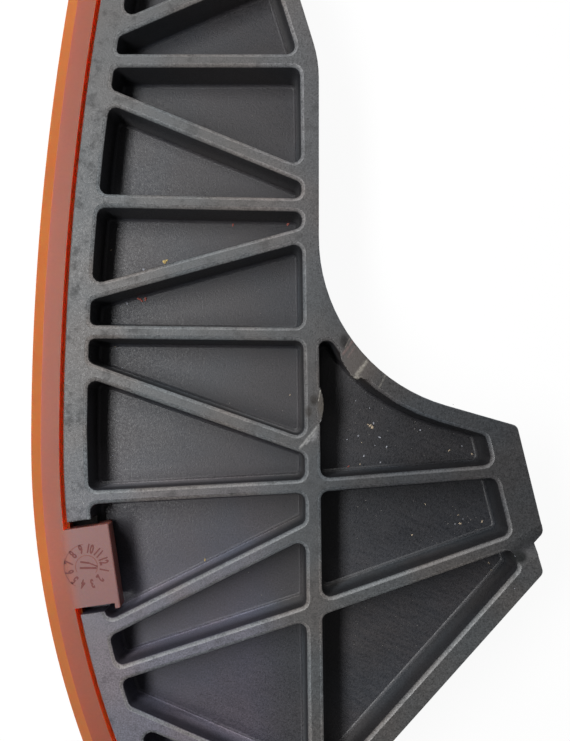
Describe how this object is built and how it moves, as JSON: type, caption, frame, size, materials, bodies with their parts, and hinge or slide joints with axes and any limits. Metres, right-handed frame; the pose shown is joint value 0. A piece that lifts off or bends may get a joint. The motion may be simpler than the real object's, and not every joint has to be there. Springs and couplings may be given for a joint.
{
  "type": "timing chain guide",
  "caption": "Curved timing chain guide: a truss-ribbed black moulded carrier with a pivot eye and a tensioner pad, faced by a clipped-on orange-brown nylon slide lining.",
  "frame": {"origin": "on the pivot bore's axis, at the carrier's back face, which lies on the table", "axes": "+Z along the pivot bore, out of the pictured face; +Y up the arm to the pivot; +X from the running face towards the tensioner pad"},
  "size_m": [0.0859, 0.1964, 0.02],
  "materials": {
    "carrier_black": "matt moulded, fine grain",
    "lining_orange": "satin moulded"
  },
  "bodies": {
    "root": {"carrier": "carrier_black", "slide_lining": "lining_orange"}
  },
  "joints": []
}
